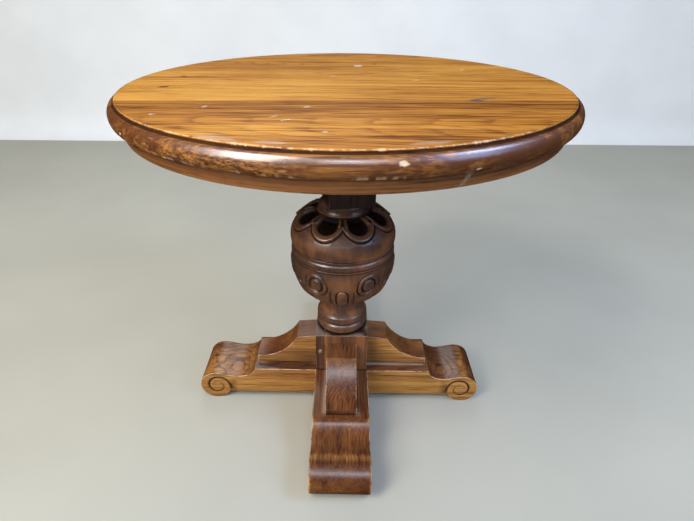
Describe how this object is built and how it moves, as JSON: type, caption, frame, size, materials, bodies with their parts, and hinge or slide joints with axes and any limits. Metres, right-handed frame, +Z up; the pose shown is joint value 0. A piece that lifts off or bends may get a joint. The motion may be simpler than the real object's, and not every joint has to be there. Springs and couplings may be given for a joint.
{
  "type": "round pedestal table",
  "caption": "Low round table with a moulded oak top on a turned and carved column, standing on crossed feet with scrolled ends and stepped brackets.",
  "frame": {"origin": "on the floor under the column's axis, which is the bottom centre of the bounding box", "axes": "+Z up along the column; -Y towards the front foot; +X to the right along the side-to-side runner and the grain of the top"},
  "size_m": [0.7, 0.7, 0.62],
  "materials": {
    "top_oak": "glossy golden stain, worn pale along the arris",
    "rim_oak": "glossy brown stain",
    "column_oak": "glossy very dark stain, rubbed orange-brown on the high places",
    "block_oak": "satin brown stain",
    "foot_oak": "satin golden-brown stain, darker on top",
    "bracket_oak": "satin brown stain",
    "raw_oak": "unfinished",
    "beech": "unfinished",
    "steel": "dull zinc"
  },
  "bodies": {
    "root": {"base_block": "block_oak", "bearer_across": "raw_oak", "bearer_along": "raw_oak", "block_screw_left": "steel", "block_screw_right": "steel", "board_dowel_back_1": "beech", "board_dowel_back_2": "beech", "board_dowel_back_3": "beech", "board_dowel_back_4": "beech", "board_dowel_front_1": "beech", "board_dowel_front_2": "beech", "board_dowel_front_3": "beech", "board_dowel_front_4": "beech", "bolt_washer": "steel", "bracket_back": "bracket_oak", "bracket_dowel_back": "beech", "bracket_dowel_front": "beech", "bracket_dowel_left": "beech", "bracket_dowel_right": "beech", "bracket_front": "bracket_oak", "bracket_left": "bracket_oak", "bracket_right": "bracket_oak", "bracket_screw_back": "steel", "bracket_screw_front": "steel", "bracket_screw_left": "steel", "bracket_screw_right": "steel", "column": "column_oak", "column_bolt": "steel", "foot_screw_1": "steel", "foot_screw_2": "steel", "foot_screw_3": "steel", "foot_screw_4": "steel", "packing_board": "block_oak", "rim_segment_1": "rim_oak", "rim_segment_2": "rim_oak", "rim_segment_3": "rim_oak", "rim_segment_4": "rim_oak", "rim_segment_5": "rim_oak", "rim_segment_6": "rim_oak", "rim_segment_7": "rim_oak", "rim_segment_8": "rim_oak", "runner_front_to_back": "foot_oak", "runner_side_to_side": "foot_oak", "top_block": "column_oak", "top_board_back": "top_oak", "top_board_front": "top_oak", "top_board_middle": "top_oak", "top_screw_1": "steel", "top_screw_2": "steel", "top_screw_3": "steel", "top_screw_4": "steel", "top_screw_5": "steel", "top_screw_6": "steel", "top_screw_7": "steel", "top_screw_8": "steel"}
  },
  "joints": []
}
